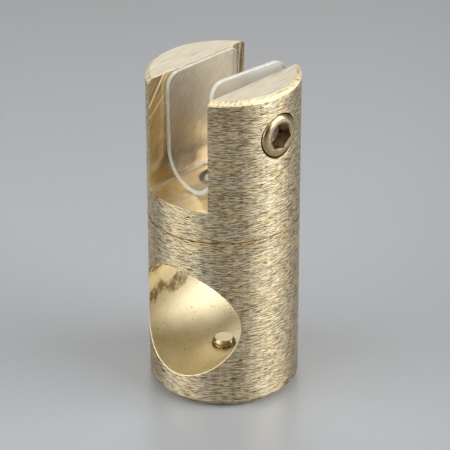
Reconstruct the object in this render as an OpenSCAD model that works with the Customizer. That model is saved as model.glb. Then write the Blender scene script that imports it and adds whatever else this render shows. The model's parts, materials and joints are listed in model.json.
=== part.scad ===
// Glass panel to bar connector.
// A base with a cross bore grips a round bar. A slotted head grips a glass panel and swivels on the base.
// +Z is up and the origin is at the centre of the base's bottom face.
// The slot runs along X, and the clamp screw is in the jaw on the -Y side.

/* [Body] */
// Diameter of the base and the head
body_d = 32; // [31:0.5:34]
// Height of the base, up to the swivel seam
base_h = 39.3; // [38.5:0.1:42]
// Height of the top of the jaws above the bottom
total_h = 71.2; // [70:0.1:74]
// Width of the bottom bevel
bottom_bevel_w = 1.3; // [0.5:0.1:1.5]
// Height of the top bevel
top_bevel_h = 1; // [0.5:0.05:1.5]
// Width of the bevel round the top
top_bevel_w = 1; // [0.5:0.05:1.5]
// Height of the bottom bevel
bottom_bevel_h = 1.5; // [0.5:0.1:2]

/* [Bar bore] */
// Diameter of the bore for the bar
bar_bore_d = 25.3; // [22:0.1:25.6]
// Height of the bore's axis
bar_bore_z = 19.2; // [18:0.1:19.6]
// Turn of the base against the head, about the swivel
swivel_turn = 4.5; // [-10:0.5:10]

/* [Glass slot] */
// Width of the slot
slot_w = 16; // [15:0.5:17]
// Distance of the slot's middle from the axis, towards the thinner jaw
slot_offset = 0.55; // [0:0.05:1]
// Height of the slot's floor
slot_floor_z = 46.4; // [46:0.1:48]
// Thickness of the plastic liner
liner_t = 1; // [0.8:0.1:1.2]
// Width of the liner along the slot
liner_w = 20; // [16:0.5:22]
// Gap between the thinner jaw and the liner's front flap
liner_gap = 1.55; // [1.5:0.05:2.5]

/* [Clamp screw] */
// Thread diameter of the clamp screw
clamp_d = 9.5; // [8:0.1:9.8]
// Height of the clamp screw's axis
clamp_z = 61.6; // [60:0.1:63]
// Size of the clamp screw's hex socket across its flats
clamp_hex = 5.2; // [4:0.1:5.4]

/* [Bar screw] */
// Thread diameter of the bar screw
bar_screw_d = 5; // [4:0.1:5]
// Length of the bar screw
bar_screw_l = 6; // [5:0.5:6]
// Height that the bar screw's point stands into the bore
bar_screw_out = 1.6; // [0.5:0.1:2]

/* [Pivot] */
// Thread diameter of the pivot screw
pivot_d = 5; // [4:0.5:5]
// Thickness of the swivel washer
washer_t = 1; // [0.8:0.1:1.5]

/* [Hidden] */
$fn = 96;
eps = 0.01;
cut = 1;
// Gap between faces that rest on each other
touch = 0.02;

body_r = body_d / 2;
bar_bore_r = bar_bore_d / 2;
bore_floor_z = bar_bore_z - bar_bore_r;

// Swivel seam
seam_gap = 0.15;
seam_bevel = 0.15;
head_z = base_h + seam_gap;

// Slot walls
front_y = -slot_offset - slot_w / 2;
rear_y = -slot_offset + slot_w / 2;
slot_fillet = 0.8;

// Set screws
running = 0.06;
screw_clear = 0.15;
end_bevel = 0.4;
bar_hex = 2.5;
bar_hex_depth = 2.5;
bar_point_d = 3.8;
point_bevel_h = 0.6;
bar_hole_bevel = 0.4;
top_bevel_steps = 4;
top_bevel_bulge = 0.22;
clamp_face_y = -body_r - 0.25;
clamp_hex_depth = 3;
clamp_hex_turn = 15;
clamp_dome_r = 4.6;
clamp_dome_h = 1;
clamp_dome_steps = 5;
clamp_dome_sweep = 78;
clamp_flank = 0.15;
clamp_mouth_d = 6.2;
clamp_mouth_h = 0.25;

// Thrust pad
pad_d = 8;
pad_t = 1.2;
pad_stem_d = 3.6;
pad_stem_l = 1.8;
pad_gap = 0.05;
pad_bevel = 0.4;
pad_bore_spare = 0.1;
pad_face_y = front_y + liner_gap - touch;
clamp_end_y = pad_face_y - pad_t - pad_gap;

// Pivot
recess_r = 5.2;
recess_depth = 4.4;
recess_z = slot_floor_z - recess_depth;
spring_r = 5;
spring_t = 0.5;
spring_h = 0.75;
spring_clear = 0.1;
pivot_head_r = 4.25;
pivot_head_h = 3.4;
pivot_head_bevel = 0.3;
pivot_head_z = recess_z + spring_h + 0.05;
pivot_hex = 3;
pivot_hex_depth = 1.8;
pivot_reach = 4.8;
pivot_end_z = head_z - pivot_reach;
pivot_hole_clear = 0.02;
pivot_hole_spare = 0.5;
washer_r = 11;
washer_clear = 0.1;
washer_bore_clear = 0.2;
washer_z = head_z - washer_t - touch;

// Liner
liner_clear = 0.05;
liner_rear_y = rear_y - liner_clear;
liner_front_y = front_y + liner_gap;
liner_r = (liner_rear_y - liner_front_y) / 2;
liner_mid_y = (liner_rear_y + liner_front_y) / 2;
liner_low_z = slot_floor_z + liner_clear;
liner_rear_top_z = total_h - 0.2;
liner_front_top_z = total_h + 1.7;
liner_corner = 3;

// A hexagonal bar along Z with corners on the X axis, by its size across the flats
module hex_bar(across, h) {
    cylinder(d = across / cos(30), h = h, $fn = 6);
}

// A bar along Z with bevelled ends
module bevelled_bar(r, h, low_w, low_h, high_w, high_h) {
    rotate_extrude()
        polygon([[0, 0], [r - low_w, 0], [r, low_h], [r, h - high_h], [r - high_w, h], [0, h]]);
}

// A plate in the XZ plane with round top corners, thick along Y
module round_topped_plate(w, low_z, high_z, corner, low_y, high_y) {
    translate([0, high_y, 0])
        rotate([90, 0, 0])
            linear_extrude(high_y - low_y)
                union() {
                    translate([-w / 2, low_z])
                        square([w, high_z - corner - low_z]);
                    translate([-w / 2 + corner, low_z])
                        square([w - 2 * corner, high_z - low_z]);
                    for (side = [-1, 1])
                        translate([side * (w / 2 - corner), high_z - corner])
                            circle(corner);
                }
}

// Lower cylinder, turned against the head, with the bar's bore and the bar screw's hole
module base_body() {
    color("burlywood")
        rotate([0, 0, swivel_turn])
            difference() {
                bevelled_bar(body_r, base_h, bottom_bevel_w, bottom_bevel_h, seam_bevel, seam_bevel);
                translate([-body_r - cut, 0, bar_bore_z])
                    rotate([0, 90, 0])
                        cylinder(r = bar_bore_r, h = body_d + 2 * cut);
                translate([0, 0, -cut])
                    cylinder(d = bar_screw_d + 2 * running, h = bar_bore_z);
                translate([0, 0, -eps])
                    cylinder(r1 = bar_screw_d / 2 + bar_hole_bevel + eps,
                             r2 = bar_screw_d / 2, h = bar_hole_bevel + eps);
                translate([0, 0, washer_z - touch])
                    cylinder(r = washer_r + washer_clear, h = washer_t + cut);
                translate([0, 0, pivot_end_z - pivot_hole_spare])
                    cylinder(d = pivot_d + 2 * pivot_hole_clear, h = base_h);
            }
}

// Set screw for the bar: flat point up, hex socket down
module bar_screw() {
    top_z = bore_floor_z + bar_screw_out;
    color("burlywood")
        rotate([0, 0, swivel_turn])
            translate([0, 0, top_z - bar_screw_l])
                difference() {
                    bevelled_bar(bar_screw_d / 2, bar_screw_l, end_bevel, end_bevel,
                                 (bar_screw_d - bar_point_d) / 2, point_bevel_h);
                    translate([0, 0, -cut])
                        hex_bar(bar_hex, bar_hex_depth + cut);
                }
}

// Plastic washer in the top of the base, which carries the head
module swivel_washer() {
    color("ivory")
        translate([0, 0, washer_z])
            difference() {
                cylinder(r = washer_r, h = washer_t);
                translate([0, 0, -cut])
                    cylinder(d = pivot_d + 2 * washer_bore_clear, h = washer_t + 2 * cut);
            }
}

// Low-headed screw that joins the head to the base
module pivot_screw() {
    color("silver")
        difference() {
            union() {
                translate([0, 0, pivot_end_z])
                    bevelled_bar(pivot_d / 2, pivot_head_z - pivot_end_z + eps, end_bevel, end_bevel, 0, 0);
                translate([0, 0, pivot_head_z])
                    bevelled_bar(pivot_head_r, pivot_head_h, 0, 0, pivot_head_bevel, pivot_head_bevel);
            }
            translate([0, 0, pivot_head_z + pivot_head_h - pivot_hex_depth])
                hex_bar(pivot_hex, pivot_hex_depth + cut);
        }
}

// Conical spring washer under the pivot screw's head
module disc_spring() {
    rise = spring_h - spring_t;
    bore_r = pivot_d / 2 + spring_clear;
    color("gray")
        translate([0, 0, recess_z + touch])
            rotate_extrude()
                polygon([[spring_r, 0], [spring_r, spring_t], [bore_r, spring_t + rise], [bore_r, rise]]);
}

// Points from the side up to the flat top, along a bevel that bulges a little
function top_bevel(r, h) =
    [for (i = [0:top_bevel_steps]) let (up = i / top_bevel_steps)
        [r - up * top_bevel_w + 4 * top_bevel_bulge * up * (1 - up), h - top_bevel_h + up * top_bevel_h]];

// Upper cylinder with the slot, two jaws, the clamp screw's hole and the pivot's recess
module head_body() {
    color("burlywood")
        difference() {
            translate([0, 0, head_z])
                rotate_extrude()
                    polygon(concat([[0, 0], [body_r - seam_bevel, 0], [body_r, seam_bevel]],
                                   top_bevel(body_r, total_h - head_z), [[0, total_h - head_z]]));
            slot_space();
            translate([0, 0, clamp_z])
                rotate([90, 0, 0])
                    cylinder(d = clamp_d + 2 * screw_clear, h = body_d);
            translate([0, 0, recess_z])
                cylinder(r = recess_r, h = recess_depth + cut);
            translate([0, 0, head_z - cut])
                cylinder(d = pivot_d + 2 * running, h = body_d / 2);
        }
}

// Space of the slot, with a small fillet left along the rear wall's foot
module slot_space() {
    difference() {
        translate([-body_r - cut, front_y, slot_floor_z])
            cube([body_d + 2 * cut, slot_w, total_h]);
        translate([0, rear_y - slot_fillet, slot_floor_z])
            rotate([0, 90, 0])
                difference() {
                    translate([-slot_fillet, 0, -body_d])
                        cube([slot_fillet + cut, slot_fillet + cut, 2 * body_d]);
                    translate([-slot_fillet, 0, -body_d - cut])
                        cylinder(r = slot_fillet, h = 2 * body_d + 2 * cut);
                }
    }
}

// Clear sheet bent into a U: the rear flap lies on the rear wall, the front flap stands off its wall
module slot_liner() {
    bend_z = liner_low_z + liner_r;
    color("lightcyan", 0.5)
        intersection() {
            translate([liner_w / 2, 0, 0])
                rotate([90, 0, -90])
                    linear_extrude(liner_w)
                        difference() {
                            union() {
                                translate([-liner_mid_y, bend_z])
                                    circle(liner_r);
                                translate([-liner_mid_y - liner_r, bend_z])
                                    square([2 * liner_r, body_r * 2]);
                            }
                            translate([-liner_mid_y, bend_z])
                                circle(liner_r - liner_t);
                            translate([-liner_mid_y - liner_r + liner_t, bend_z])
                                square([2 * (liner_r - liner_t), body_r * 2 + cut]);
                        }
            union() {
                round_topped_plate(liner_w, liner_low_z - cut, liner_rear_top_z, liner_corner,
                                   liner_mid_y, liner_rear_y + cut);
                round_topped_plate(liner_w, liner_low_z - cut, liner_front_top_z, liner_corner,
                                   liner_front_y - cut, liner_mid_y + eps);
            }
        }
}

// Thrust pad between the clamp screw and the liner
module clamp_pad() {
    color("ivory")
        translate([0, pad_face_y, clamp_z])
            rotate([90, 0, 0])
                rotate_extrude()
                    polygon([[0, 0], [pad_d / 2 - pad_bevel, 0], [pad_d / 2, pad_bevel], [pad_d / 2, pad_t],
                             [pad_stem_d / 2, pad_t], [pad_stem_d / 2, pad_t + pad_stem_l],
                             [0, pad_t + pad_stem_l]]);
}

// Points of the clamp screw's domed end, outwards from the radius where the dome begins
function clamp_dome(from_r) =
    [for (i = [0:clamp_dome_steps]) let (a = clamp_dome_sweep * i / clamp_dome_steps)
        [from_r + (clamp_dome_r - from_r) * sin(a), clamp_dome_h * (1 - cos(a))]];

// Hex socket set screw in the thinner jaw
module clamp_screw() {
    r = clamp_d / 2;
    l = clamp_end_y - clamp_face_y;
    mouth_r = clamp_mouth_d / 2;
    color("burlywood")
        translate([0, clamp_face_y, clamp_z])
            rotate([-90, 0, 0])
                difference() {
                    rotate_extrude()
                        polygon(concat([[0, 0]], clamp_dome(mouth_r + 0.08),
                                       [[r, clamp_dome_h + clamp_flank], [r, l], [0, l]]));
                    translate([0, 0, -cut])
                        rotate([0, 0, clamp_hex_turn])
                            hex_bar(clamp_hex, clamp_hex_depth + cut);
                    translate([0, 0, -eps])
                        cylinder(r1 = mouth_r + eps, r2 = mouth_r - clamp_mouth_h, h = clamp_mouth_h + eps);
                    translate([0, 0, l - pad_stem_l - pad_bore_spare])
                        cylinder(r = pad_stem_d / 2 + running, h = pad_stem_l + cut);
                }
}

base_body();
bar_screw();
swivel_washer();
pivot_screw();
disc_spring();
head_body();
slot_liner();
clamp_pad();
clamp_screw();
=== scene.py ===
import json
import math

import bmesh
import bpy
from mathutils import Matrix, Vector


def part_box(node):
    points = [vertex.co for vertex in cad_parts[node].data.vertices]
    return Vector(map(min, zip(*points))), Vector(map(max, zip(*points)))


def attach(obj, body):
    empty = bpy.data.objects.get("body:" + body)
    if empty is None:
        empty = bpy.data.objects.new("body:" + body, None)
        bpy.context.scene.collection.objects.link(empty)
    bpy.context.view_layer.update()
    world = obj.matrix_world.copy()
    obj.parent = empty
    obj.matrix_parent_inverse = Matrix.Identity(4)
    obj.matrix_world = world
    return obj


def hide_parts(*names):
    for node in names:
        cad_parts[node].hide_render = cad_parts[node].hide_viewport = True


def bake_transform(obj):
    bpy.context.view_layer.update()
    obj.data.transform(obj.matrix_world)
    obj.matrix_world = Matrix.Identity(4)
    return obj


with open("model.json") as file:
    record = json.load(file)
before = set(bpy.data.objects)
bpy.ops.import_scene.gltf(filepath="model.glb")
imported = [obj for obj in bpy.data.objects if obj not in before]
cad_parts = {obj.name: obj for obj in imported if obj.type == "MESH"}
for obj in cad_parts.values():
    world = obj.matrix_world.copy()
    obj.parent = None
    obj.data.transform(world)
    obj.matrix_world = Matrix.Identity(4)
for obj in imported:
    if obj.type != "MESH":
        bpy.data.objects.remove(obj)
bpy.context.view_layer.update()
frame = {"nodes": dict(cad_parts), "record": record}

MM = 0.001
RECORD = frame["record"]
MOUNTS = {m["name"]: m for m in RECORD["mounts"]}


# ---------------------------------------------------------------- sizes, in millimetres

def box_mm(node):
    low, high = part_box(node)
    return low / MM, high / MM


_, base_high = box_mm("base_body")
head_low, head_high = box_mm("head_body")
liner_low, liner_high = box_mm("slot_liner")
clamp_low, clamp_high = box_mm("clamp_screw")
bar_screw_low, bar_screw_high = box_mm("bar_screw")
washer_low, _ = box_mm("swivel_washer")
pivot_low, _ = box_mm("pivot_screw")

BODY_R = (head_high.x - head_low.x) / 2
BASE_TOP = base_high.z
HEAD_FOOT = head_low.z
HEAD_TOP = head_high.z
BEVEL_W = 1.3
TOP_BEVEL_W = 1.0
TOP_BEVEL_H = 1.0
TOP_BEVEL_STEPS = 4
TOP_BEVEL_BULGE = 0.22
FOOT_BEVEL_H = 1.5
SEAM_BEVEL = 0.11

BORE_R = MOUNTS["bar_bore"]["dims"]["r_mm"]
BORE_Z = MOUNTS["bar_bore"]["pos_m"][2] / MM
BORE_AXIS = MOUNTS["bar_bore"]["axis"]
SWIVEL = math.atan2(-BORE_AXIS[1], -BORE_AXIS[0])
BORE_RIM = 0.08

CLEAR = 0.05
SLOT_W = 16
REAR_WALL = liner_high.y + CLEAR
FRONT_WALL = REAR_WALL - SLOT_W
SLOT_FLOOR = liner_low.z - CLEAR
SLOT_FILLET = 0.8
CLAMP_Z = (clamp_low.z + clamp_high.z) / 2
CLAMP_R = (clamp_high.z - clamp_low.z) / 2
CLAMP_RUNNING_GAP = 0.15
CLAMP_HOLE_R = CLAMP_R + CLAMP_RUNNING_GAP
RECESS_R = 5.2
RECESS_DEPTH = 4.4
PIVOT_HOLE_R = 2.56


# ---------------------------------------------------------------- camera, lights and floor

CAMERA_AZIMUTH = math.radians(-45.99)
CAMERA_PITCH = math.radians(27.91)
CAMERA_ROLL = math.radians(-0.08)
CAMERA_DISTANCE = 0.5167
CAMERA_AIM_Z = 0.0354
CAMERA_SIDE = 0.00028
CAMERA_LENS = 196.2
SENSOR_WIDTH = 36

# Name, azimuth from the camera's side, elevation, distance, width, height and power
LIGHTS = [("left_box", -67, 30, 0.6, 0.62, 0.55, 3.1),
          ("right_box", 75, 30, 0.6, 0.50, 0.55, 4.15),
          ("rear_left_box", -138, 17, 0.7, 0.28, 0.30, 0.16),
          ("rear_right_box", 141, 12, 0.7, 0.2, 0.22, 0.05),
          ("back_box", -173, 35, 0.8, 0.45, 0.4, 0.9),
          ("top_box", 0, 76, 0.7, 0.5, 0.6, 1.4)]
COOL = (0.93, 0.97, 1.0)
LIGHT_AIM = Vector((0, 0, 0.036))
WORLD_COLOUR = (1.0, 0.78, 0.58, 1)
WORLD_STRENGTH = 0.13
FLOOR_HALF = 6


def make_camera():
    data = bpy.data.cameras.new("camera")
    data.lens = CAMERA_LENS
    data.sensor_width = SENSOR_WIDTH
    data.clip_start = 0.01
    data.clip_end = 20
    camera = bpy.data.objects.new("camera", data)
    bpy.context.scene.collection.objects.link(camera)
    turn = Matrix.Rotation(CAMERA_AZIMUTH, 4, "Z")
    tip = Matrix.Rotation(math.pi / 2 - CAMERA_PITCH, 4, "X")
    roll = Matrix.Rotation(CAMERA_ROLL, 4, "Z")
    out = Matrix.Translation((CAMERA_SIDE, 0, CAMERA_DISTANCE))
    camera.matrix_world = Matrix.Translation((0, 0, CAMERA_AIM_Z)) @ turn @ tip @ out @ roll
    bpy.context.scene.camera = camera


def round_the_camera(azimuth_deg, elevation_deg, distance):
    """A point at an azimuth counted from the camera's own side of the object, positive to its right."""
    a = CAMERA_AZIMUTH + math.radians(azimuth_deg)
    e = math.radians(elevation_deg)
    return Vector((math.sin(a) * math.cos(e), -math.cos(a) * math.cos(e), math.sin(e))) * distance


def area_light(name, azimuth, elevation, distance, width, height, power):
    data = bpy.data.lights.new(name, "AREA")
    data.shape = "RECTANGLE"
    data.size = width
    data.size_y = height
    data.energy = power
    data.color = COOL
    light = bpy.data.objects.new(name, data)
    bpy.context.scene.collection.objects.link(light)
    light.location = round_the_camera(azimuth, elevation, distance)
    aim = LIGHT_AIM - light.location
    light.rotation_euler = aim.to_track_quat("-Z", "Y").to_euler()


# ---------------------------------------------------------------- mesh tools

WELD = 2e-6


def spaced(start, end, count):
    """Count steps from start to end, both ends included."""
    return [start + (end - start) * i / count for i in range(count + 1)]


def circle(radius, z, angles):
    return [(radius * math.cos(a), radius * math.sin(a), z) for a in angles]


def half_chord(radius, offset):
    """Half the length of a chord at an offset from the centre of a circle."""
    return math.sqrt(radius * radius - offset * offset)


class Shell:
    """Faces in millimetres, each with its finish's name. Corners that coincide are welded at the end."""

    def __init__(self):
        self.points = []
        self.faces = []

    def face(self, corners, finish):
        first = len(self.points)
        self.points.extend(corners)
        self.faces.append((tuple(range(first, first + len(corners))), finish))

    def rows(self, rows, finish, closed=False):
        """Quads between neighbouring rows of points. A closed row joins its last point to its first."""
        n = len(rows[0])
        first = len(self.points)
        for row in rows:
            self.points.extend(row)
        for i in range(len(rows) - 1):
            for j in range(n if closed else n - 1):
                a = first + i * n + j
                b = first + i * n + (j + 1) % n
                self.faces.append(((a, b, b + n, a + n), finish))

    def stitch(self, ring_a, ring_b, finish):
        """Triangles between two rings round the Z axis that don't have the same number of points."""
        def sorted_ring(ring):
            return sorted(ring, key=lambda p: math.atan2(p[1], p[0]))
        a, b = sorted_ring(ring_a), sorted_ring(ring_b)
        i = j = 0
        while i < len(a) or j < len(b):
            pa, pb = a[i % len(a)], b[j % len(b)]
            turn_a = math.atan2(pa[1], pa[0]) + 2 * math.pi * (i // len(a))
            turn_b = math.atan2(pb[1], pb[0]) + 2 * math.pi * (j // len(b))
            if j >= len(b) or (i < len(a) and turn_a <= turn_b):
                self.face([pa, a[(i + 1) % len(a)], pb], finish)
                i += 1
            else:
                self.face([pa, b[(j + 1) % len(b)], pb], finish)
                j += 1

    def moved(self, matrix):
        self.points = [tuple(matrix @ Vector(p)) for p in self.points]

    def piece(self, name, finishes, sharp_deg=28):
        mesh = bpy.data.meshes.new(name)
        mesh.from_pydata([Vector(p) * MM for p in self.points], [], [f for f, _ in self.faces])
        names = list(finishes)
        for finish in names:
            mesh.materials.append(finishes[finish])
        mesh.polygons.foreach_set("material_index", [names.index(s) for _, s in self.faces])
        bm = bmesh.new()
        bm.from_mesh(mesh)
        bmesh.ops.remove_doubles(bm, verts=bm.verts, dist=WELD)
        bmesh.ops.dissolve_degenerate(bm, edges=bm.edges, dist=WELD / 4)
        bmesh.ops.recalc_face_normals(bm, faces=bm.faces)
        bm.to_mesh(mesh)
        bm.free()
        mesh.polygons.foreach_set("use_smooth", [True] * len(mesh.polygons))
        mesh.set_sharp_from_angle(angle=math.radians(sharp_deg))
        piece = bpy.data.objects.new(name, mesh)
        bpy.context.scene.collection.objects.link(piece)
        return piece


def angles_of(loop, centre):
    return [math.atan2(v - centre[1], u - centre[0]) for u, v in loop]


COLLAR_STEPS = (0, 0.1, 0.24, 0.42, 0.66, 1)


def collar(shell, loop, hole, centre, surface, finish, angles=None, steps=COLLAR_STEPS):
    """Faces from a hole's edge out to a closed loop of (u, v) points. Returns the points of the edge."""
    angles = angles or angles_of(loop, centre)
    rows = []
    for t in steps:
        row = []
        for (u, v), a in zip(loop, angles):
            hu, hv = hole(a)
            row.append(surface(hu + (u - hu) * t, hv + (v - hv) * t))
        rows.append(row)
    shell.rows(rows, finish, closed=True)
    return rows[0]


def round_hole(radius, centre=(0, 0)):
    """The edge of a round hole as a function of the angle."""
    return lambda a: (centre[0] + radius * math.cos(a), centre[1] + radius * math.sin(a))


def rectangle_loop(us, vs):
    """The points round a rectangle of grid lines, anticlockwise from its lower left corner."""
    return ([(u, vs[0]) for u in us[:-1]] + [(us[-1], v) for v in vs[:-1]]
            + [(u, vs[-1]) for u in us[:0:-1]] + [(us[0], v) for v in vs[:0:-1]])


# ---------------------------------------------------------------- base

TURN = [math.radians(3 * i) for i in range(120)]
BORE_WALL_STEPS = (1, 0.93, 0.82, 0.7, 0.58, 0.47, 0.37, 0.3, 0.24, 0.18, 0.12, 0.06, 0)
BORE_PATCH_ANGLE = math.radians(18)
BORE_PATCH_SHARE = 0.25
SCREW_HOLE_R = 2.62
SCREW_HOLE_BEVEL = 0.4
WASHER_SEAT_R = 11.1
WASHER_SEAT_GAP = 0.02
SEAT_MID_R = 6
PIVOT_END_GAP = 0.5
FOOT_RING_W = 4
BASE_STEPS = 30


def base_body(finishes):
    shell = Shell()
    low_z, high_z = FOOT_BEVEL_H, BASE_TOP - SEAM_BEVEL
    half_turn = [BODY_R * math.radians(3 * i) for i in range(-30, 31)]
    loop = rectangle_loop(half_turn, spaced(low_z, high_z, BASE_STEPS))
    centre = (0, BORE_Z)
    angles = angles_of(loop, centre)
    rim_r = BORE_R + BORE_RIM

    def hole(a):
        return BODY_R * math.asin(rim_r * math.cos(a) / BODY_R), BORE_Z + rim_r * math.sin(a)

    def bore_row(share):
        row = []
        for a in angles:
            y = BORE_R * math.cos(a)
            x = half_chord(BODY_R, y) - BORE_RIM
            row.append((share * x, y, BORE_Z + BORE_R * math.sin(a)))
        return row

    for side in (1, -1):
        def wrapped(u, v, side=side):
            return side * BODY_R * math.cos(u / BODY_R), BODY_R * math.sin(u / BODY_R), v
        rim = collar(shell, loop, hole, centre, wrapped, "brushed")
        shell.rows([rim, bore_row(side)], "edge", closed=True)

    # The bore's wall, with the bar screw's hole in its lowest part
    shares = list(BORE_WALL_STEPS) + [-s for s in BORE_WALL_STEPS[-2::-1]]
    wall = [bore_row(s) for s in shares]
    inside = [k for k, a in enumerate(angles) if abs(a + math.pi / 2) < BORE_PATCH_ANGLE]
    first, last = inside[0], inside[-1]
    patch_rows = [i for i, s in enumerate(shares) if abs(s) < BORE_PATCH_SHARE]
    top, bottom = patch_rows[0], patch_rows[-1]
    n = len(angles)
    around_patch = [(last + k) % n for k in range(n - (last - first) + 1)]
    shell.rows([[row[k] for k in around_patch] for row in wall], "bore")
    shell.rows([[row[k] for k in inside] for row in wall[:top + 1]], "bore")
    shell.rows([[row[k] for k in inside] for row in wall[bottom:]], "bore")
    edge = ([wall[top][k] for k in inside[:-1]] + [wall[i][last] for i in range(top, bottom)]
            + [wall[bottom][k] for k in inside[:0:-1]] + [wall[i][first] for i in range(bottom, top, -1)])
    plan = [(p[0], p[1]) for p in edge]
    hole_edge = collar(shell, plan, round_hole(SCREW_HOLE_R), (0, 0),
                       lambda u, v: (u, v, BORE_Z - half_chord(BORE_R, v)), "bore", steps=(0, 0.1, 0.35, 1))
    hole_angles = [math.atan2(p[1], p[0]) for p in hole_edge]
    hole_rows = [circle(SCREW_HOLE_R, z, hole_angles) for z in (5, 3, SCREW_HOLE_BEVEL)]
    mouth = circle(SCREW_HOLE_R + SCREW_HOLE_BEVEL, 0, hole_angles)
    shell.rows([hole_edge] + hole_rows + [mouth], "bore", closed=True)

    # Foot and top
    foot = circle(BODY_R - BEVEL_W, 0, TURN)
    foot_ring = circle(BODY_R - BEVEL_W - FOOT_RING_W, 0, TURN)
    shell.rows([circle(BODY_R, low_z, TURN), foot], "brushed", closed=True)
    shell.rows([foot, foot_ring], "turned", closed=True)
    shell.stitch(foot_ring, mouth, "turned")
    top = circle(BODY_R - SEAM_BEVEL, BASE_TOP, TURN)
    shell.rows([circle(BODY_R, high_z, TURN), top], "seam", closed=True)
    seat_z = washer_low.z - WASHER_SEAT_GAP
    blind_z = pivot_low.z - PIVOT_END_GAP
    profile = [(WASHER_SEAT_R, BASE_TOP), (WASHER_SEAT_R, seat_z), (SEAT_MID_R, seat_z),
               (PIVOT_HOLE_R, seat_z), (PIVOT_HOLE_R, blind_z)]
    shell.rows([top] + [circle(r, z, TURN) for r, z in profile], "turned", closed=True)
    shell.face(circle(PIVOT_HOLE_R, blind_z, TURN), "turned")
    shell.moved(Matrix.Rotation(SWIVEL, 4, "Z"))
    return shell.piece("base_shell", finishes)


# ---------------------------------------------------------------- head

EDGE = 0.05
MID_HALF = 7.0
MID_STEPS = 20
SIDE_STEPS = 7
ARC_STEPS = 40
PATCH_LOW = 55.2
PATCH_HIGH = 68.0
PATCH_STEPS = 18
WALL_STEPS = 9
SAME_HEIGHT = 0.01
FILLET_STEPS = 5
SHARP_CORNER_ROW = 0.5
RECESS_STEP = 1
FOOT_MID_R = 8


def chord_xs(half):
    """Places along a chord: even steps in the middle, the rest shared out to the ends."""
    side = spaced(half, MID_HALF, SIDE_STEPS)
    return [-x for x in side[:-1]] + spaced(-MID_HALF, MID_HALF, MID_STEPS) + side[-2::-1]


def outer_radius(z):
    """Radius of the head's side at a height: the body's, or less on the slightly bulging top bevel."""
    up = max(0, z - (HEAD_TOP - TOP_BEVEL_H)) / TOP_BEVEL_H
    return BODY_R - up * TOP_BEVEL_W + TOP_BEVEL_BULGE * 4 * up * (1 - up)


def jaw_profile(offset, fillet):
    """The slot's wall from foot to top: distance from the axis, height, and the normal into the metal."""
    steps = []
    if fillet:
        for i in range(FILLET_STEPS + 1):
            a = math.radians(90 * i / FILLET_STEPS)
            y = offset - fillet + fillet * math.sin(a)
            z = SLOT_FLOOR + fillet - fillet * math.cos(a)
            steps.append((y, z, math.sin(a), -math.cos(a)))
    else:
        steps.append((offset, SLOT_FLOOR, 1, -1))
    start = SLOT_FLOOR + (fillet or SHARP_CORNER_ROW)
    bevel_low = HEAD_TOP - TOP_BEVEL_H
    for low, high, count in ((start, PATCH_LOW, WALL_STEPS), (PATCH_LOW, PATCH_HIGH, PATCH_STEPS),
                             (PATCH_HIGH, bevel_low, 2), (bevel_low, HEAD_TOP - EDGE, TOP_BEVEL_STEPS)):
        steps += [(offset, z, 1, 0) for z in spaced(low, high, count)[1:]]
    steps.append((offset + EDGE, HEAD_TOP, 1, 0))
    return steps


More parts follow.
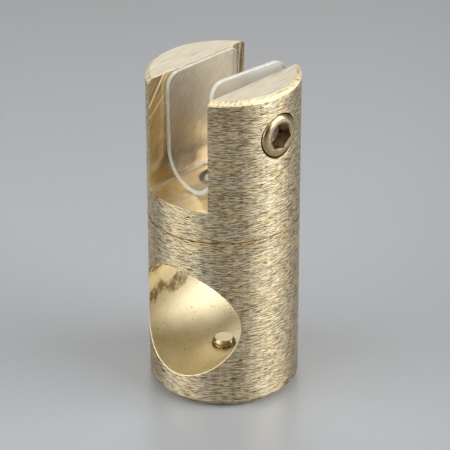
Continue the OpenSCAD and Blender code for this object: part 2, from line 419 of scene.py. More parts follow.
def jaw(shell, offset, fillet, flip, clamp_hole):
    """One jaw above the slot's floor. Returns the arc that it shares with the head's round foot."""
    profile = jaw_profile(offset, fillet)
    arcs, walls, ends = [], [], ([], [])
    for y, z, ny, nz in profile:
        arc_z = z + EDGE * nz
        radius = outer_radius(arc_z)
        edge_y = y if y > offset else y + EDGE * ny
        half = half_chord(radius - EDGE, y)
        start = math.atan2(edge_y, half_chord(radius, edge_y))
        turns = spaced(start, math.pi - start, ARC_STEPS)
        arcs.append([(radius * math.cos(a), flip * radius * math.sin(a), arc_z) for a in turns])
        walls.append([(x, flip * y, z) for x in chord_xs(half)])
        ends[0].append([walls[-1][-1], arcs[-1][0]])
        ends[1].append([walls[-1][0], arcs[-1][-1]])
    for end in ends:
        shell.rows(end, "edge")
    rim_rows = TOP_BEVEL_STEPS + 2
    shell.rows(arcs[-rim_rows:], "rim")
    shell.rows([walls[-2], walls[-1]], "edge")
    shell.face(arcs[-1] + walls[-1], "top")
    arcs_side, walls_side = arcs[:1 - rim_rows], walls[:-1]
    if not clamp_hole:
        shell.rows(arcs_side, "brushed")
        shell.rows(walls_side[:FILLET_STEPS + 1], "fillet")
        shell.rows(walls_side[FILLET_STEPS:], "slot")
        return arcs[0]

    levels = [step[1] for step in profile]
    low = next(i for i, z in enumerate(levels) if abs(z - PATCH_LOW) < SAME_HEIGHT)
    high = next(i for i, z in enumerate(levels) if abs(z - PATCH_HIGH) < SAME_HEIGHT)
    heights = levels[low:high + 1]
    arc_first = ARC_STEPS // 2 - MID_STEPS // 2
    arc_last = arc_first + MID_STEPS
    for side, first, last, finish in ((arcs_side, arc_first, arc_last, "brushed"),
                                      (walls_side, SIDE_STEPS, SIDE_STEPS + MID_STEPS, "slot")):
        shell.rows([row[:first + 1] for row in side], finish)
        shell.rows([row[last:] for row in side], finish)
        shell.rows([row[first:last + 1] for row in side[:low + 1]], finish)
        shell.rows([row[first:last + 1] for row in side[high:]], finish)

    # The clamp screw's hole. The side is unrolled, with 0 at the hole's middle and counted towards +X
    mouth_r = CLAMP_HOLE_R + EDGE
    arc_part = arcs_side[low][arc_first:arc_last + 1]
    us = sorted(BODY_R * math.atan2(x, flip * y) for x, y, _ in arc_part)
    outer_loop = rectangle_loop(us, heights)
    centre = (0, CLAMP_Z)
    angles = angles_of(outer_loop, centre)

    def mouth(a):
        return BODY_R * math.asin(mouth_r * math.cos(a) / BODY_R), CLAMP_Z + mouth_r * math.sin(a)

    def wrapped(u, v):
        return BODY_R * math.sin(u / BODY_R), flip * BODY_R * math.cos(u / BODY_R), v

    rim = collar(shell, outer_loop, mouth, centre, wrapped, "brushed")
    xs = walls_side[low][SIDE_STEPS:SIDE_STEPS + MID_STEPS + 1]
    inner_loop = rectangle_loop([p[0] for p in xs], heights)
    inner = collar(shell, inner_loop, round_hole(mouth_r, centre), centre,
                   lambda u, v: (u, flip * offset, v), "slot", angles=angles)
    hole_rows = [rim]
    for share in spaced(0, 1, 4):
        row = []
        for a in angles:
            x = CLAMP_HOLE_R * math.cos(a)
            near, far = half_chord(BODY_R, x) - EDGE, offset + EDGE
            row.append((x, flip * (near + (far - near) * share), CLAMP_Z + CLAMP_HOLE_R * math.sin(a)))
        hole_rows.append(row)
    shell.rows(hole_rows + [inner], "bore", closed=True)
    return arcs[0]


def head_body(finishes):
    shell = Shell()
    rear_arc = jaw(shell, REAR_WALL, SLOT_FILLET, 1, False)
    front_arc = jaw(shell, -FRONT_WALL, 0, -1, True)

    # The slot's floor, with the pivot's recess in the middle
    patch_low, patch_high = -MID_HALF, REAR_WALL - SLOT_FILLET
    front_ys = spaced(FRONT_WALL, patch_low, 2)
    patch_ys = spaced(patch_low, patch_high, 20)
    floor_ys = front_ys[:-1] + patch_ys
    floor = [[(x, y, SLOT_FLOOR) for x in chord_xs(half_chord(BODY_R - EDGE, y))] for y in floor_ys]
    mid_first, mid_last = SIDE_STEPS, SIDE_STEPS + MID_STEPS
    shell.rows([r[:mid_first + 1] for r in floor], "floor")
    shell.rows([r[mid_last:] for r in floor], "floor")
    shell.rows([r[mid_first:mid_last + 1] for r in floor[:3]], "floor")
    loop = rectangle_loop([p[0] for p in floor[0][mid_first:mid_last + 1]], patch_ys)
    mouth_r = RECESS_R + EDGE
    rim = collar(shell, loop, round_hole(mouth_r), (0, 0), lambda u, v: (u, v, SLOT_FLOOR), "floor")
    turns = angles_of(loop, (0, 0))
    recess_z = SLOT_FLOOR - RECESS_DEPTH
    recess_floor = circle(RECESS_R - RECESS_STEP, recess_z, turns)
    recess_side = [circle(RECESS_R, z, turns) for z in (SLOT_FLOOR - EDGE, recess_z + 2, recess_z)]
    shell.rows([rim] + recess_side + [recess_floor], "bore", closed=True)

    # The round foot below the slot
    def end_arc(side):
        pairs = []
        for row in floor:
            x, y, z = row[-1] if side > 0 else row[0]
            pairs.append([(x, y, z), (side * half_chord(BODY_R, y), y, SLOT_FLOOR - EDGE)])
        pairs[0][1] = front_arc[0] if side > 0 else front_arc[-1]
        shell.rows(pairs, "edge")
        return [p[1] for p in pairs]

    right, left = end_arc(1), end_arc(-1)
    ring = rear_arc[:-1] + left[:0:-1] + front_arc[:0:-1] + right[:-1]
    turns = [math.atan2(p[1], p[0]) for p in ring]
    low = HEAD_FOOT + SEAM_BEVEL
    side_rows = [ring] + [circle(BODY_R, z, turns) for z in spaced(SLOT_FLOOR - EDGE, low, 6)[1:]]
    shell.rows(side_rows, "brushed", closed=True)
    foot = circle(BODY_R - SEAM_BEVEL, HEAD_FOOT, turns)
    pivot_hole = [circle(PIVOT_HOLE_R, z, turns) for z in (HEAD_FOOT, recess_z)]
    shell.rows([side_rows[-1], foot], "seam", closed=True)
    shell.rows([foot, circle(FOOT_MID_R, HEAD_FOOT, turns)] + pivot_hole, "turned", closed=True)
    shell.stitch(pivot_hole[-1], recess_floor, "bore")
    return shell.piece("head_shell", finishes)


# ---------------------------------------------------------------- screws

DRILL_TIP_R = 0.3
DRILL_TIP_H = 0.6
DRILL_SHARE = 0.96
THREAD_FLAT = 0.16
THREAD_SLOPE = 0.66
ROWS_PER_PITCH = 14


def hexagon(across, corner_at):
    """The distance from the centre to a hexagon's side, as a function of the direction."""
    def radius(a):
        turn = (a - corner_at) % (math.pi / 3) - math.pi / 6
        return across / 2 / math.cos(turn)
    return radius


def thread_depth(turn, z, pitch):
    """Depth of a right-hand thread below its crest, from 0 to 1, at a turn in radians and a height."""
    t = (z / pitch - turn / (2 * math.pi)) % 1
    away = abs(t - 0.5) * 2
    rise = min(1, max(0, (away - THREAD_FLAT) / THREAD_SLOPE))
    return rise * rise * (3 - 2 * rise)


def socket_rows(turns, across, depth, mouth_r, mouth_h, corner_at):
    """Rows of a hex socket from its floor's middle outwards, and its round mouth at height 0."""
    radius = hexagon(across, corner_at)
    slope = mouth_h / (mouth_r - across / 2)
    walls = []
    for share in (0, 0.33, 0.66, 1):
        row = []
        for a in turns:
            r = radius(a)
            top = (mouth_r - r) * slope
            z = depth + (top - depth) * share
            row.append((r * math.cos(a), r * math.sin(a), z))
        walls.append(row)
    drill_r = across / 2 * DRILL_SHARE
    bottom = [circle(DRILL_TIP_R, depth + DRILL_TIP_H, turns), circle(drill_r, depth, turns)]
    return bottom + walls, circle(mouth_r, 0, turns)


def thread_rows(turns, radius, pitch, depth, start, end, low_edge, high_edge):
    """Rows up a threaded side. An edge gives the greatest radius allowed at a distance from that end."""
    rows = []
    for z in spaced(start, end, round((end - start) / pitch * ROWS_PER_PITCH)):
        row = []
        for a in turns:
            r = radius - depth * thread_depth(a, z, pitch)
            r = min(r, low_edge(z - start), high_edge(end - z))
            row.append((r * math.cos(a), r * math.sin(a), z))
        rows.append(row)
    return rows


BAR_SCREW_R = 2.5
BAR_SCREW_PITCH = 0.8
BAR_SCREW_THREAD = 0.4
BAR_SCREW_POINT_R = 1.94
BAR_SCREW_POINT_ROUND = 0.08
BAR_SCREW_HEX = 2.5
BAR_SCREW_HEX_DEPTH = 2.5
BAR_SCREW_MOUTH_R = 1.6
BAR_SCREW_MOUTH_H = 0.2


def bar_screw(finishes):
    turns = [math.radians(5 * i) for i in range(72)]
    length = bar_screw_high.z - bar_screw_low.z
    shell = Shell()
    socket, mouth = socket_rows(turns, BAR_SCREW_HEX, BAR_SCREW_HEX_DEPTH, BAR_SCREW_MOUTH_R,
                                BAR_SCREW_MOUTH_H, 0)
    shell.face(socket[0], "socket")
    shell.rows(socket + [mouth], "socket", closed=True)
    side = thread_rows(turns, BAR_SCREW_R, BAR_SCREW_PITCH, BAR_SCREW_THREAD, 0, length,
                       lambda d: BAR_SCREW_R - BAR_SCREW_THREAD + d,
                       lambda d: BAR_SCREW_POINT_R + max(0, d - BAR_SCREW_POINT_ROUND))
    point = circle(BAR_SCREW_POINT_R - 0.1, length, turns)
    shell.rows([mouth] + side + [point], "screw", closed=True)
    shell.face(point, "point")
    shell.moved(Matrix.Translation((0, 0, bar_screw_low.z)) @ Matrix.Rotation(SWIVEL, 4, "Z"))
    return shell.piece("bar_set_screw", finishes, sharp_deg=32)


CLAMP_HEX = 5.2
CLAMP_HEX_TURN = math.radians(15)
CLAMP_HEX_DEPTH = 3.0
CLAMP_MOUTH_R = 3.07
CLAMP_MOUTH_H = 0.16
CLAMP_FACE_R = 3.15
CLAMP_DOME_R = 4.6
CLAMP_DOME_H = 1.0
CLAMP_DOME_STEPS = 8
CLAMP_DOME_SWEEP = math.radians(78)
CLAMP_NECK_R = 4.65
CLAMP_THREAD_START = 1.5
CLAMP_PITCH = 1.5
CLAMP_THREAD = 0.55
CLAMP_END_BEVEL = 0.5
CLAMP_STEM_R = 1.86
CLAMP_STEM_L = 1.9


def clamp_screw(finishes):
    turns = TURN
    length = clamp_high.y - clamp_low.y
    shell = Shell()
    socket, mouth = socket_rows(turns, CLAMP_HEX, CLAMP_HEX_DEPTH, CLAMP_MOUTH_R, CLAMP_MOUTH_H,
                                CLAMP_HEX_TURN)
    shell.face(socket[0], "floor")
    shell.rows(socket[:2], "floor", closed=True)
    shell.rows(socket[1:], "socket", closed=True)
    shell.rows([socket[-1], mouth], "socket", closed=True)
    dome = []
    for a in spaced(0, CLAMP_DOME_SWEEP, CLAMP_DOME_STEPS):
        r = CLAMP_FACE_R + (CLAMP_DOME_R - CLAMP_FACE_R) * math.sin(a)
        dome.append(circle(r, CLAMP_DOME_H * (1 - math.cos(a)), turns))
    neck = [circle(CLAMP_NECK_R - 0.01, CLAMP_DOME_H + 0.1, turns),
            circle(CLAMP_NECK_R, CLAMP_THREAD_START - 0.3, turns)]
    shell.rows([mouth] + dome + neck, "screw", closed=True)
    side = thread_rows(turns, CLAMP_R, CLAMP_PITCH, CLAMP_THREAD, CLAMP_THREAD_START, length,
                       lambda d: CLAMP_R, lambda d: CLAMP_R - CLAMP_END_BEVEL + d)
    stem_hole = [circle(CLAMP_STEM_R, z, turns) for z in (length, length - CLAMP_STEM_L)]
    shell.rows(neck[-1:] + side + stem_hole, "screw", closed=True)
    shell.face(stem_hole[-1], "screw")
    shell.moved(Matrix.Translation((0, clamp_low.y, CLAMP_Z)) @ Matrix.Rotation(-math.pi / 2, 4, "X"))
    return shell.piece("clamp_set_screw", finishes, sharp_deg=32)


# ---------------------------------------------------------------- liner

LINER_T = 1.0
LINER_HALF_W = 9.95
LINER_SHIFT = 0.4
LINER_CORNER = 3.0
LINER_TIGHT = 1.7
LINER_REAR_EXTRA = 0.5
LINER_EDGE = 0.14
LINER_TILT = 0.081
LINER_LEAN = 0.35
LINER_REAR_H = 24.55
LINER_LOWEST_Y = -1.0
REAR_BEND_H = 8.3
FRONT_BEND_H = 6.1
REAR_WIDENS_H = 8
REAR_BEND_STEPS = 18
FRONT_BEND_STEPS = 15
FLAP_STEPS = 12
LINER_TOPS = {"rear": liner_low.z + LINER_REAR_H, "front": liner_high.z}


def flap_heights(top, foot):
    """Heights down a flap: close together where its top corners are rounded."""
    corner = [top - LINER_CORNER * (1 - math.cos(math.radians(10 * i))) for i in range(10)]
    return corner + spaced(top - LINER_CORNER, foot, FLAP_STEPS)[1:]


def liner_path(x):
    """The sheet's outer line at a place along the slot, from the rear flap's top to the front's."""
    rear_y = REAR_WALL - CLEAR
    foot_y = rear_y - LINER_LEAN
    front_y = liner_low.y - LINER_TILT * x
    low_y, low_z = LINER_LOWEST_Y, liner_low.z
    points = []
    for z in flap_heights(LINER_TOPS["rear"], low_z + REAR_BEND_H):
        share = (z - low_z - REAR_BEND_H) / (LINER_REAR_H - REAR_BEND_H)
        points.append((foot_y + LINER_LEAN * share, z))
    for a in spaced(0, math.pi / 2, REAR_BEND_STEPS)[1:]:
        points.append((low_y + (foot_y - low_y) * math.cos(a), low_z + REAR_BEND_H * (1 - math.sin(a))))
    for a in spaced(0, math.pi / 2, FRONT_BEND_STEPS)[1:]:
        points.append((low_y + (front_y - low_y) * math.sin(a), low_z + FRONT_BEND_H * (1 - math.cos(a))))
    for z in flap_heights(LINER_TOPS["front"], low_z + FRONT_BEND_H)[-2::-1]:
        points.append((front_y, z))
    return points


def inward(points, distance):
    """The line at a distance inside a path of (y, z) points."""
    out = []
    for i, (y, z) in enumerate(points):
        y0, z0 = points[max(0, i - 1)]
        y1, z1 = points[min(len(points) - 1, i + 1)]
        dy, dz = y1 - y0, z1 - z0
        size = math.hypot(dy, dz)
        out.append((y + distance * dz / size, z - distance * dy / size))
    return out


def slot_liner(finishes):
    middle = liner_path(0)
    lowest = min(range(len(middle)), key=lambda i: middle[i][1])

    def reach(i, trim, side):
        """Distance from the sheet's middle to its edge, less where a flap's top corner is rounded."""
        rear = i < lowest
        height = middle[i][1]
        half, corner = LINER_HALF_W - trim, LINER_CORNER - trim
        if rear and side > 0:
            half += LINER_REAR_EXTRA * min(1, max(0, (height - liner_low.z) / REAR_WIDENS_H - 1))
            corner = LINER_TIGHT - trim
        drop = LINER_TOPS["rear" if rear else "front"] - trim - height
        if drop >= corner:
            return half
        return half - corner + math.sqrt(max(0, corner * corner - (corner - drop) ** 2))

    def surface(depth, trim, shares):
        """Rows of points on the sheet at a depth from its outer face, each row across the sheet."""
        columns = []
        for s in shares:
            column = []
            for i in range(len(middle)):
                x = LINER_SHIFT + s * reach(i, trim, s)
                y, z = inward(liner_path(x), depth)[i]
                if i in (0, len(middle) - 1):
                    z -= trim
                column.append((x, y, z))
            columns.append(column)
        return [list(row) for row in zip(*columns)]

    shares = spaced(-1, 1, 24)
    outer = surface(0, LINER_EDGE, shares)
    inner = surface(LINER_T, LINER_EDGE, shares)
    outer_edge = surface(LINER_EDGE, 0, shares)
    inner_edge = surface(LINER_T - LINER_EDGE, 0, shares)
    shell = Shell()
    shell.rows(outer, "clear")
    shell.rows(inner, "clear")

    def border(rows):
        return (rows[0] + [r[-1] for r in rows[1:]] + rows[-1][-2::-1] + [r[0] for r in rows[-2:0:-1]])

    shell.rows([border(outer), border(outer_edge), border(inner_edge), border(inner)], "cut", closed=True)
    return shell.piece("slot_liner_sheet", finishes, sharp_deg=35)


# ---------------------------------------------------------------- materials

class Finish:
    """A procedural material. Sizes are in millimetres and follow the piece's own coordinates."""

    def __init__(self, name, colour, metallic, roughness):
        self.material = bpy.data.materials.new(name)
        self.material.use_nodes = True
        self.tree = self.material.node_tree
        self.shader = self.tree.nodes["Principled BSDF"]
        self.set("Base Color", colour)
        self.set("Metallic", metallic)
        self.set("Roughness", roughness)
        self.place = self.add("ShaderNodeTexCoord").outputs["Object"]
        self.normal = None

    def add(self, kind, **settings):
        node = self.tree.nodes.new(kind)
        for key, value in settings.items():
            setattr(node, key, value)
        return node

    def put(self, socket, value):
        if isinstance(value, bpy.types.NodeSocket):
            self.tree.links.new(value, socket)
        elif isinstance(value, tuple) and len(value) == 3 and len(socket.default_value) == 4:
            socket.default_value = (*value, 1)
        else:
            socket.default_value = value

    def set(self, name, value):
        self.put(self.shader.inputs[name], value)

    def scaled(self, size, turn=(0, 0, 0)):
        mapping = self.add("ShaderNodeMapping", vector_type="TEXTURE")
        mapping.inputs["Scale"].default_value = [s * MM for s in size]
        mapping.inputs["Rotation"].default_value = turn
        self.put(mapping.inputs["Vector"], self.place)
        return mapping.outputs["Vector"]

    def noise(self, size, detail=3, roughness=0.55, turn=(0, 0, 0)):
        node = self.add("ShaderNodeTexNoise")
        self.put(node.inputs["Vector"], self.scaled(size, turn))
        node.inputs["Scale"].default_value = 1
        node.inputs["Detail"].default_value = detail
        node.inputs["Roughness"].default_value = roughness
        node.inputs["Distortion"].default_value = 0
        return node.outputs["Fac"]

    def cells(self, size):
        node = self.add("ShaderNodeTexVoronoi", feature="F1")
        self.put(node.inputs["Vector"], self.scaled(size))
        node.inputs["Scale"].default_value = 1
        return node

    def ramp(self, factor, stops):
        node = self.add("ShaderNodeValToRGB")
        while len(node.color_ramp.elements) < len(stops):
            node.color_ramp.elements.new(0.5)
        for element, (place, colour) in zip(node.color_ramp.elements, stops):
            element.position = place
            element.color = (*colour, 1)
        self.put(node.inputs["Fac"], factor)
        return node.outputs["Color"]

    def range(self, value, low, high, to_low=0.0, to_high=1.0):
        node = self.add("ShaderNodeMapRange", clamp=True)
        for key, number in (("From Min", low), ("From Max", high), ("To Min", to_low), ("To Max", to_high)):
            node.inputs[key].default_value = number
        self.put(node.inputs["Value"], value)
        return node.outputs["Result"]

    def math(self, operation, a, b=0.0):
        node = self.add("ShaderNodeMath", operation=operation)
        self.put(node.inputs[0], a)
        self.put(node.inputs[1], b)
        return node.outputs["Value"]

    def mix(self, factor, a, b, blend="MIX"):
        node = self.add("ShaderNodeMix", data_type="RGBA", blend_type=blend)
        self.put(node.inputs["Factor"], factor)
        self.put(node.inputs[6], a)
        self.put(node.inputs[7], b)
        return node.outputs[2]

    def split(self, vector):
        node = self.add("ShaderNodeSeparateXYZ")
        self.put(node.inputs["Vector"], vector)
        return node.outputs

    def axes(self):
        return self.split(self.place)

    def bump(self, height, depth):
        """Adds relief of a depth in millimetres."""
        node = self.add("ShaderNodeBump")
        node.inputs["Strength"].default_value = 1
        node.inputs["Distance"].default_value = depth * MM
        self.put(node.inputs["Height"], height)
        if self.normal is not None:
            self.put(node.inputs["Normal"], self.normal)
        self.normal = node.outputs["Normal"]
        self.set("Normal", self.normal)


BRASS = (0.88, 0.70, 0.405)


def brushed_brass():
    """The round side: short strokes that run round the body, light and dark, over broad uneven patches."""
    f = Finish("brushed_brass", BRASS, 1, 0.3)
    stroke = f.noise((1.7, 1.7, 0.052), 1, 0.5, turn=(0.012, 0.01, 0))
    cross = f.noise((0.95, 0.95, 0.048), 1, 0.5, turn=(-0.03, -0.02, 0))
    broad = f.noise((5, 5, 3), 2, 0.5)
    dash = f.split(f.cells((1.3, 1.3, 0.075)).outputs["Color"])[0]
    both = f.math("ADD", f.math("MULTIPLY", stroke, 0.42), f.math("MULTIPLY", cross, 0.36))
    both = f.math("ADD", both, f.math("MULTIPLY", dash, 0.22))
    strokes = f.ramp(both, [(0.42, (0.10, 0.057, 0.022)), (0.467, (0.53, 0.38, 0.185)),
                            (0.50, (0.87, 0.70, 0.42)), (0.55, (1.0, 0.89, 0.64))])
    tone = f.mix(f.range(broad, 0.35, 0.65), (0.92, 0.93, 0.96), (1.0, 0.96, 0.86))
    f.set("Base Color", f.mix(1.0, strokes, tone, "MULTIPLY"))
    f.set("Roughness", f.range(cross, 0.3, 0.7, 0.32, 0.42))
    f.set("Anisotropic", 0.7)
    f.set("Anisotropic Rotation", 0.25)
    f.set("Tangent", f.add("ShaderNodeTangent", direction_type="RADIAL", axis="Z").outputs["Tangent"])
    f.bump(stroke, 0.02)
    f.bump(cross, 0.012)
    return f.material


def rim_brass():
    """The bevel round the top: short slanting strokes, more even and matt than the side's."""
    f = Finish("rim_brass", BRASS, 1, 0.3)
    stroke = f.noise((2.6, 0.26, 0.5), 1, 0.5, turn=(0.2, 0, 0.12))
    spots = f.noise((1.0, 1.0, 0.4), 2, 0.5)
    colour = f.ramp(stroke, [(0.36, (0.64, 0.50, 0.28)), (0.46, (0.86, 0.73, 0.47)),
                             (0.58, (0.98, 0.88, 0.65))])
    f.set("Base Color", f.mix(f.range(spots, 0.52, 0.68, 0, 0.4), colour, (0.82, 0.64, 0.36)))
    f.set("Roughness", f.range(stroke, 0.3, 0.7, 0.58, 0.72))
    f.bump(stroke, 0.05)
    return f.material


def top_brass():
    """The flat tops of the jaws: matt, with a faint straight grain along the slot."""
    f = Finish("top_brass", BRASS, 1, 0.42)
    grain = f.noise((6, 0.2, 6), 2, 0.6, turn=(0, 0, 0.10))
    cloud = f.noise((3, 3, 3), 2, 0.5)
    colour = f.ramp(grain, [(0.38, (0.55, 0.47, 0.33)), (0.5, (0.75, 0.67, 0.50)),
                            (0.62, (0.90, 0.82, 0.65))])
    f.set("Base Color", f.mix(f.range(cloud, 0.35, 0.65, 0, 0.5), colour, (0.75, 0.68, 0.56)))
    f.set("Roughness", f.range(grain, 0.3, 0.7, 0.38, 0.52))
    f.bump(grain, 0.02)
    return f.material


# Painted dark reflection: where it starts along the slot's wall, and how far it fades in
DARK_REFLECTION_X = 10.5
DARK_REFLECTION_FADE = 0.5

# Painted light lines that stand in for reflections: where each crosses the height on the next line, its
# slope and its width
REFLECTION_LINE_Z = 65.5
PAINTED_REFLECTION_LINES = [(-13.65, 1.46, 0.5), (-10.8, 0.95, 0.25)]


def slot_brass():
    """The milled walls of the slot: yellow brass, gently wavy, finely scratched, with two painted light
    lines near one end that stand in for reflections, and a painted dark reflection, streaked, at the other."""
    f = Finish("slot_brass", BRASS, 1, 0.28)
    scratch = f.noise((0.18, 3, 5), 2, 0.5, turn=(0, 0.5, 0))
    cloud = f.noise((5, 3, 6), 3, 0.55)
    wave = f.noise((2.2, 9, 9), 1, 0.4, turn=(0, 0.62, 0))
    x, _, z = f.axes()
    streak = f.noise((0.22, 9, 14), 1, 0.5)
    colour = f.ramp(cloud, [(0.32, (0.76, 0.58, 0.32)), (0.68, (0.96, 0.79, 0.50))])
    colour = f.mix(f.range(scratch, 0.52, 0.7, 0, 0.35), colour, (0.93, 0.79, 0.54))
    # Painted dark reflection at the wall's far end, streaked
    painted_dark_reflection = f.ramp(streak, [(0.42, (0.11, 0.08, 0.04)), (0.54, (0.32, 0.235, 0.125)),
                              (0.6, (0.76, 0.62, 0.38))])
    # Painted light lines that stand in for reflections on the wall
    painted_reflection_lines = 0.0
    for start, slope, width in PAINTED_REFLECTION_LINES:
        off = f.math("SUBTRACT", z, f.math("MULTIPLY", f.math("SUBTRACT", x, start * MM), slope))
        gap = f.math("ABSOLUTE", f.math("SUBTRACT", off, REFLECTION_LINE_Z * MM))
        painted_reflection_lines = f.math("MAXIMUM", f.range(gap, width * MM / 2, width * MM, 0.8, 0), painted_reflection_lines)
    colour = f.mix(painted_reflection_lines, colour, (1.0, 0.87, 0.62))
    f.set("Base Color", f.mix(f.range(x, DARK_REFLECTION_X * MM, (DARK_REFLECTION_X + DARK_REFLECTION_FADE) * MM), colour, painted_dark_reflection))
    f.set("Roughness", f.math("MAXIMUM", f.range(scratch, 0.3, 0.7, 0.2, 0.32), painted_reflection_lines))
    f.bump(wave, 0.09)
    f.bump(scratch, 0.01)
    return f.material


def floor_brass():
    """The slot's floor, milled along the slot."""
    f = Finish("slot_floor_brass", BRASS, 1, 0.34)
    grain = f.noise((6, 0.3, 6), 2, 0.5)
    cloud = f.noise((2.2, 2.2, 2.2), 2, 0.5)
    f.set("Base Color", f.ramp(cloud, [(0.35, (0.86, 0.72, 0.49)), (0.62, (1.0, 0.87, 0.64))]))
    f.set("Roughness", f.range(grain, 0.3, 0.7, 0.28, 0.42))
    f.bump(cloud, 0.05)
    f.bump(grain, 0.01)
    return f.material


def fillet_painted_highlight():
    """The rounded corner along the wall's foot, painted bright as a highlight."""
    f = Finish("fillet_painted_highlight", BRASS, 1, 0.42)
    grain = f.noise((3, 0.3, 0.3), 2, 0.5)
    # Painted highlight: lighter than the walls beside it
    f.set("Base Color", f.ramp(grain, [(0.35, (0.88, 0.74, 0.50)), (0.65, (1.0, 0.89, 0.68))]))
    f.set("Roughness", f.range(grain, 0.3, 0.7, 0.36, 0.5))
    f.bump(grain, 0.02)
    return f.material


TEAR_UP = -1.1
TEAR_WIDTH = 2.6
TEAR_SWAY = 6
DARK_BRASS = (0.27, 0.19, 0.075)


def bore_brass():
    """The bored hole: smooth yellow brass with fine dark pits. A line of torn strokes runs along the wall a
    little below the middle, a painted highlight lightens the wall above it, and one mouth is torn along its
    top."""
    f = Finish("bore_brass", BRASS, 1, 0.26)
    x, _, z = f.axes()
    grain = f.noise((0.5, 5, 5), 2, 0.5)
    cloud = f.noise((3, 3, 3), 3, 0.55)
    pits = f.cells((0.62, 0.8, 0.95))
    size = f.noise((1.5, 1.5, 1.5), 1, 0.5)
    reach = f.range(size, 0.38, 0.64, 0.02, 0.26)
    pit = f.range(f.math("SUBTRACT", reach, pits.outputs["Distance"]), 0.0, 0.08)
    up = f.math("SUBTRACT", z, BORE_Z * MM)
    along = f.math("MULTIPLY", f.range(x, -11 * MM, -9.5 * MM), f.range(x, -1 * MM, 4 * MM, 1, 0))
    sway = f.math("MULTIPLY", f.noise((3.5, 3.5, 9), 2, 0.5), TEAR_SWAY * MM)
    off = f.math("SUBTRACT", f.math("ADD", up, sway), (TEAR_UP + TEAR_SWAY / 2) * MM)
    line = f.range(f.math("ABSOLUTE", off), 0.2 * MM, TEAR_WIDTH * MM, 1, 0)
    mouth = f.math("MULTIPLY", f.range(up, 3.6 * MM, 5.5 * MM), f.range(x, -9 * MM, -6 * MM, 0.8, 0))
    ragged = f.noise((1.3, 1.3, 1.9), 4, 0.65, turn=(0, 0.5, 0))
    mask = f.math("MAXIMUM", f.math("MULTIPLY", line, along), mouth)
    tear = f.range(f.math("ADD", ragged, f.math("MULTIPLY", mask, 0.29)), 0.58, 0.78)
    torn = f.math("MULTIPLY", f.math("MULTIPLY", tear, 0.9), f.range(mask, 0, 0.2))
    colour = f.ramp(cloud, [(0.3, (0.75, 0.64, 0.41)), (0.7, (0.88, 0.765, 0.50))])
    # Painted highlight: the upper wall is painted lighter
    painted_highlight = f.math("MULTIPLY", f.range(up, -1.5 * MM, 0.5 * MM), f.range(x, 1 * MM, 4 * MM, 1, 0))
    colour = f.mix(painted_highlight, colour, (0.97, 0.88, 0.66))
    marked = f.math("MAXIMUM", f.math("MULTIPLY", pit, 0.75), torn)
    f.set("Base Color", f.mix(marked, colour, DARK_BRASS))
    f.set("Roughness", f.range(cloud, 0.3, 0.7, 0.46, 0.56))
    f.bump(grain, 0.006)
    f.bump(f.math("MULTIPLY", pit, -1.0), 0.03)
    return f.material


def edge_brass():
    """Worn corners, a little brighter than the faces."""
    f = Finish("edge_brass", BRASS, 1, 0.3)
    wear = f.noise((1, 1, 0.5), 2, 0.6)
    f.set("Base Color", f.ramp(wear, [(0.35, (0.50, 0.36, 0.17)), (0.6, (0.95, 0.79, 0.50))]))
    f.set("Roughness", f.range(wear, 0.3, 0.7, 0.28, 0.45))
    f.bump(wear, 0.01)
    return f.material


def seam_brass():
    """The corners at the seam: a thin golden line, broken by dark dashes."""
    f = Finish("seam_brass", BRASS, 1, 0.4)
    dash = f.noise((0.9, 0.9, 0.9), 2, 0.6)
    f.set("Base Color", f.ramp(dash, [(0.42, (0.14, 0.08, 0.025)), (0.58, (0.70, 0.44, 0.16))]))
    f.set("Roughness", f.range(dash, 0.3, 0.7, 0.35, 0.5))
    f.bump(dash, 0.01)
    return f.material


TURNED_PITCH = 0.25


def turned_brass():
    """Faces turned on the lathe, with fine rings round the axis."""
    f = Finish("turned_brass", BRASS, 1, 0.3)
    x, y, _ = f.axes()
    radius = f.math("SQRT", f.math("ADD", f.math("MULTIPLY", x, x), f.math("MULTIPLY", y, y)))
    wave = f.math("SINE", f.math("MULTIPLY", radius, 2 * math.pi / (TURNED_PITCH * MM)))
    cloud = f.noise((4, 4, 4), 2, 0.5)
    f.set("Base Color", f.ramp(cloud, [(0.3, (0.74, 0.58, 0.34)), (0.7, (0.88, 0.73, 0.47))]))
    f.set("Roughness", f.range(cloud, 0.3, 0.7, 0.25, 0.38))
    f.bump(wave, 0.004)
    return f.material


def screw_brass_painted_dark():
    """Turned and lightly polished screws, painted darker as a dark reflection."""
    f = Finish("screw_brass_painted_dark", BRASS, 1, 0.2)
    cloud = f.noise((1.2, 1.2, 1.2), 3, 0.6)
    nicks = f.noise((0.25, 0.25, 0.25), 2, 0.5)
    # Painted dark reflection: darker than the body's brass
    f.set("Base Color", f.ramp(cloud, [(0.3, (0.40, 0.305, 0.165)), (0.7, (0.56, 0.445, 0.26))]))
    f.set("Roughness", f.range(cloud, 0.3, 0.7, 0.20, 0.30))
    f.bump(nicks, 0.008)
    return f.material


def point_brass():
    """The flat ends of the screws, dull from being turned."""
    f = Finish("point_brass", BRASS, 1, 0.36)
    cloud = f.noise((0.9, 0.9, 0.9), 3, 0.6)
    f.set("Base Color", f.ramp(cloud, [(0.35, (0.49, 0.40, 0.245)), (0.65, (0.63, 0.53, 0.35))]))
    f.set("Roughness", f.range(cloud, 0.3, 0.7, 0.3, 0.42))
    f.bump(cloud, 0.006)
    return f.material


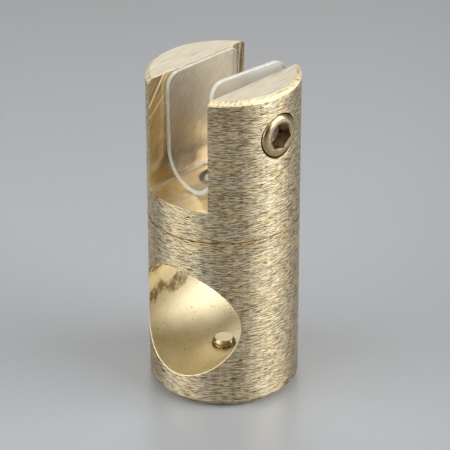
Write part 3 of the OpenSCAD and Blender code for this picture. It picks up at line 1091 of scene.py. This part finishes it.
def socket_painted_shade():
    """The inside of the hex sockets: the same metal, painted darker as shade."""
    f = Finish("socket_painted_shade", (0.42, 0.33, 0.20), 1, 0.2)
    stain = f.noise((0.9, 0.9, 0.9), 3, 0.6)
    # Painted shade: darker than the screw's own brass
    f.set("Base Color", f.ramp(stain, [(0.35, (0.23, 0.165, 0.085)), (0.65, (0.42, 0.32, 0.185))]))
    f.set("Roughness", f.range(stain, 0.3, 0.7, 0.26, 0.42))
    f.bump(stain, 0.008)
    return f.material


def socket_floor_painted_reflection():
    """The floor of the clamp screw's socket: painted pale and bright as a reflection of the light."""
    f = Finish("socket_floor_painted_reflection", (0.90, 0.86, 0.84), 1, 0.3)
    cloud = f.noise((0.8, 0.8, 0.8), 2, 0.5)
    # Painted reflection: near white instead of brass
    f.set("Base Color", f.ramp(cloud, [(0.35, (0.80, 0.75, 0.74)), (0.65, (0.97, 0.94, 0.95))]))
    f.set("Roughness", f.range(cloud, 0.3, 0.7, 0.3, 0.45))
    f.bump(cloud, 0.006)
    return f.material


def plated_steel():
    """Zinc plate, slightly cloudy."""
    f = Finish("plated_steel", (0.62, 0.61, 0.58), 1, 0.3)
    cloud = f.noise((0.8, 0.8, 0.8), 3, 0.6)
    grain = f.noise((0.15, 0.15, 0.4), 2, 0.5)
    f.set("Base Color", f.ramp(cloud, [(0.3, (0.50, 0.49, 0.47)), (0.7, (0.70, 0.69, 0.66))]))
    f.set("Roughness", f.range(cloud, 0.3, 0.7, 0.24, 0.42))
    f.bump(grain, 0.006)
    return f.material


def nylon():
    """Natural nylon with a fine moulded grain."""
    f = Finish("nylon", (0.86, 0.84, 0.78), 0, 0.45)
    cloud = f.noise((2, 2, 2), 2, 0.5)
    grain = f.noise((0.1, 0.1, 0.1), 2, 0.5)
    f.set("Base Color", f.ramp(cloud, [(0.3, (0.82, 0.80, 0.73)), (0.7, (0.89, 0.87, 0.81))]))
    f.set("Roughness", f.range(grain, 0.3, 0.7, 0.38, 0.55))
    f.set("Subsurface Weight", 0.1)
    f.bump(grain, 0.006)
    return f.material


def clear_plastic():
    """The faces of the sheet: clear, slightly warm, with a little haze and fine rubbing marks."""
    f = Finish("clear_plastic", (0.97, 0.94, 0.87), 0, 0.08)
    f.set("IOR", 1.49)
    f.set("Transmission Weight", 0.86)
    rub = f.noise((0.16, 3, 3), 2, 0.5, turn=(0, 0.5, 0))
    cloud = f.noise((4, 4, 4), 2, 0.5)
    f.set("Roughness", f.range(cloud, 0.3, 0.7, 0.08, 0.2))
    f.bump(rub, 0.02)
    return f.material


def cut_plastic():
    """The cut edge of the sheet, frosted white."""
    f = Finish("cut_plastic", (0.97, 0.94, 0.87), 0, 0.5)
    saw = f.noise((0.2, 0.2, 0.2), 2, 0.6)
    smear = f.noise((1.5, 1.5, 1.5), 2, 0.5)
    f.set("Base Color", f.ramp(smear, [(0.35, (0.74, 0.68, 0.56)), (0.65, (0.87, 0.82, 0.70))]))
    f.set("Transmission Weight", 0.1)
    f.set("IOR", 1.49)
    f.set("Subsurface Weight", 0.3)
    f.set("Roughness", f.range(saw, 0.3, 0.7, 0.4, 0.65))
    f.bump(saw, 0.012)
    return f.material


def pale_floor():
    """A plain pale floor."""
    f = Finish("pale_floor", (0.37, 0.375, 0.385), 0, 0.35)
    speck = f.noise((0.8, 0.8, 0.8), 2, 0.5)
    f.set("Roughness", f.range(speck, 0.3, 0.7, 0.30, 0.36))
    return f.material


# ---------------------------------------------------------------- the scene

make_camera()

BRUSHED = brushed_brass()
EDGE_FINISH = edge_brass()
SEAM = seam_brass()
TURNED = turned_brass()
TURNED_HOLE = turned_brass()
DARK_PAINTED_SCREW = screw_brass_painted_dark()
SHADED_SOCKET = socket_painted_shade()

base_shell = base_body({"brushed": BRUSHED, "edge": EDGE_FINISH, "seam": SEAM, "bore": bore_brass(),
                        "turned": TURNED})
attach(base_shell, "base")
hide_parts("base_body")

head_shell = head_body({"brushed": BRUSHED, "edge": EDGE_FINISH, "seam": SEAM, "bore": TURNED_HOLE,
                        "turned": TURNED, "rim": rim_brass(), "fillet": fillet_painted_highlight(), "top": top_brass(),
                        "slot": slot_brass(), "floor": floor_brass()})
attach(head_shell, "head")
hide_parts("head_body")

bar_set_screw = bar_screw({"screw": DARK_PAINTED_SCREW, "socket": SHADED_SOCKET, "point": point_brass()})
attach(bar_set_screw, "bar_screw")
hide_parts("bar_screw")

clamp_set_screw = clamp_screw({"screw": DARK_PAINTED_SCREW, "socket": SHADED_SOCKET, "floor": socket_floor_painted_reflection()})
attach(clamp_set_screw, "clamp_screw")
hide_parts("clamp_screw")

liner = slot_liner({"clear": clear_plastic(), "cut": cut_plastic()})
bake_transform(liner)
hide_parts("slot_liner")

STEEL = plated_steel()
NYLON = nylon()
for node, material, slot_name in (("pivot_screw", STEEL, "plated_steel"),
                                  ("disc_spring", STEEL, "plated_steel"),
                                  ("swivel_washer", NYLON, "nylon"),
                                  ("clamp_pad", NYLON, "nylon")):
    piece = frame["nodes"][node]
    piece.data.materials.clear()
    piece.data.materials.append(material)


def make_floor():
    mesh = bpy.data.meshes.new("floor")
    half = FLOOR_HALF
    corners = [(-half, -half, 0), (half, -half, 0), (half, half, 0), (-half, half, 0)]
    mesh.from_pydata(corners, [], [(0, 1, 2, 3)])
    mesh.materials.append(pale_floor())
    floor = bpy.data.objects.new("floor", mesh)
    bpy.context.scene.collection.objects.link(floor)


def make_world():
    world = bpy.data.worlds.new("studio")
    bpy.context.scene.world = world
    world.use_nodes = True
    background = world.node_tree.nodes["Background"]
    background.inputs["Color"].default_value = WORLD_COLOUR
    background.inputs["Strength"].default_value = WORLD_STRENGTH


make_floor()
make_world()
bpy.context.scene.view_settings.view_transform = "Standard"
for light in LIGHTS:
    area_light(*light)
